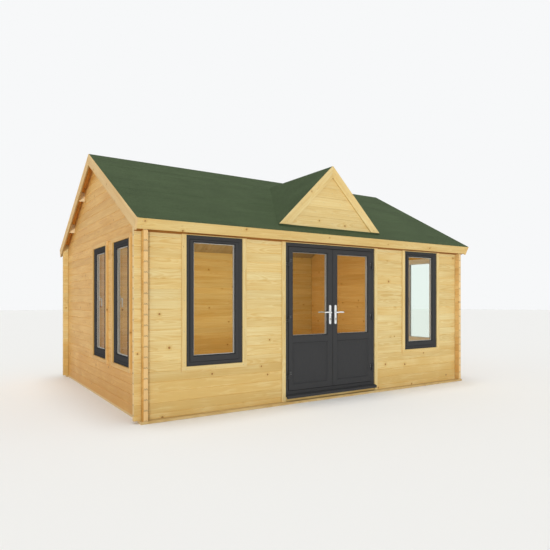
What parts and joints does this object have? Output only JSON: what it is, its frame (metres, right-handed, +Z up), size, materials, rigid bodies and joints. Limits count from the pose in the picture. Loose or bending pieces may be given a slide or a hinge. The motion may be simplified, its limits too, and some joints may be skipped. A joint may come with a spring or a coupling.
{
  "type": "log cabin",
  "caption": "Log cabin of horizontal interlocking pine logs with a felted gable roof, a false dormer, tall fixed windows and half-glazed double doors.",
  "frame": {"origin": "middle of the footprint at ground level", "axes": "+X to the right along the front, as seen from outside; -Y out of the front; +Z up"},
  "size_m": [5.04, 4.1538, 3.14],
  "materials": {
    "log_timber": "planed pine logs, clear",
    "trim_timber": "planed pine boards, clear",
    "roof_timber": "planed pine roof boards and beams",
    "floor_timber": "tongued pine boards",
    "base_timber": "treated bearers",
    "green_felt": "mineral felt",
    "grey_plastic": "satin",
    "clear_glass": "clear",
    "white_metal": "satin",
    "hinge_metal": "satin"
  },
  "bodies": {
    "cabin": {"base_frame": "base_timber", "floor_boards": "floor_timber", "front_sill_log": "log_timber", "front_wall_left": "log_timber", "front_wall_right": "log_timber", "front_wall_over_door": "log_timber", "back_wall": "log_timber", "left_gable_wall": "log_timber", "right_gable_wall": "log_timber", "ridge_beam": "roof_timber", "purlins": "roof_timber", "front_roof_boards": "roof_timber", "back_roof_boards": "roof_timber", "front_roof_felt": "green_felt", "back_roof_felt": "green_felt", "front_fascia": "trim_timber", "back_fascia": "trim_timber", "left_barge_boards": "trim_timber", "right_barge_boards": "trim_timber", "dormer_front_boards": "trim_timber", "dormer_roof_boards": "roof_timber", "dormer_felt": "green_felt", "dormer_barge_boards": "trim_timber", "front_window_frames": "grey_plastic", "left_window_frames": "grey_plastic", "right_window_frames": "grey_plastic", "front_window_glass": "clear_glass", "left_window_glass": "clear_glass", "right_window_glass": "clear_glass", "front_window_trims": "trim_timber", "left_window_trims": "trim_timber", "right_window_trims": "trim_timber", "door_trims": "trim_timber", "door_frame": "grey_plastic", "door_cill": "grey_plastic", "left_hinge_pins": "hinge_metal", "right_hinge_pins": "hinge_metal"},
    "left_leaf": {"left_door": "grey_plastic", "left_door_glass": "clear_glass", "left_handle_plates": "white_metal"},
    "left_handle": {"left_lever": "white_metal"},
    "right_leaf": {"right_door": "grey_plastic", "right_door_glass": "clear_glass", "right_handle_plates": "white_metal"},
    "right_handle": {"right_lever": "white_metal"}
  },
  "joints": [
    {"name": "left_door_swing", "type": "hinge", "parent": "cabin", "child": "left_leaf", "pos_m": [-0.6645, -1.945, 1], "axis": [0, 0, -1], "range_deg": [0, 100]},
    {"name": "right_door_swing", "type": "hinge", "parent": "cabin", "child": "right_leaf", "pos_m": [0.6645, -1.945, 1], "axis": [0, 0, 1], "range_deg": [0, 100]},
    {"name": "left_lever_turn", "type": "hinge", "parent": "left_leaf", "child": "left_handle", "pos_m": [-0.043, -1.904, 1.08], "axis": [0, -1, 0], "range_deg": [0, 40], "stiffness_Nm_per_rad": 2, "springref_deg": -22.92},
    {"name": "right_lever_turn", "type": "hinge", "parent": "right_leaf", "child": "right_handle", "pos_m": [0.043, -1.904, 1.08], "axis": [0, 1, 0], "range_deg": [0, 40], "stiffness_Nm_per_rad": 2, "springref_deg": -22.92}
  ]
}
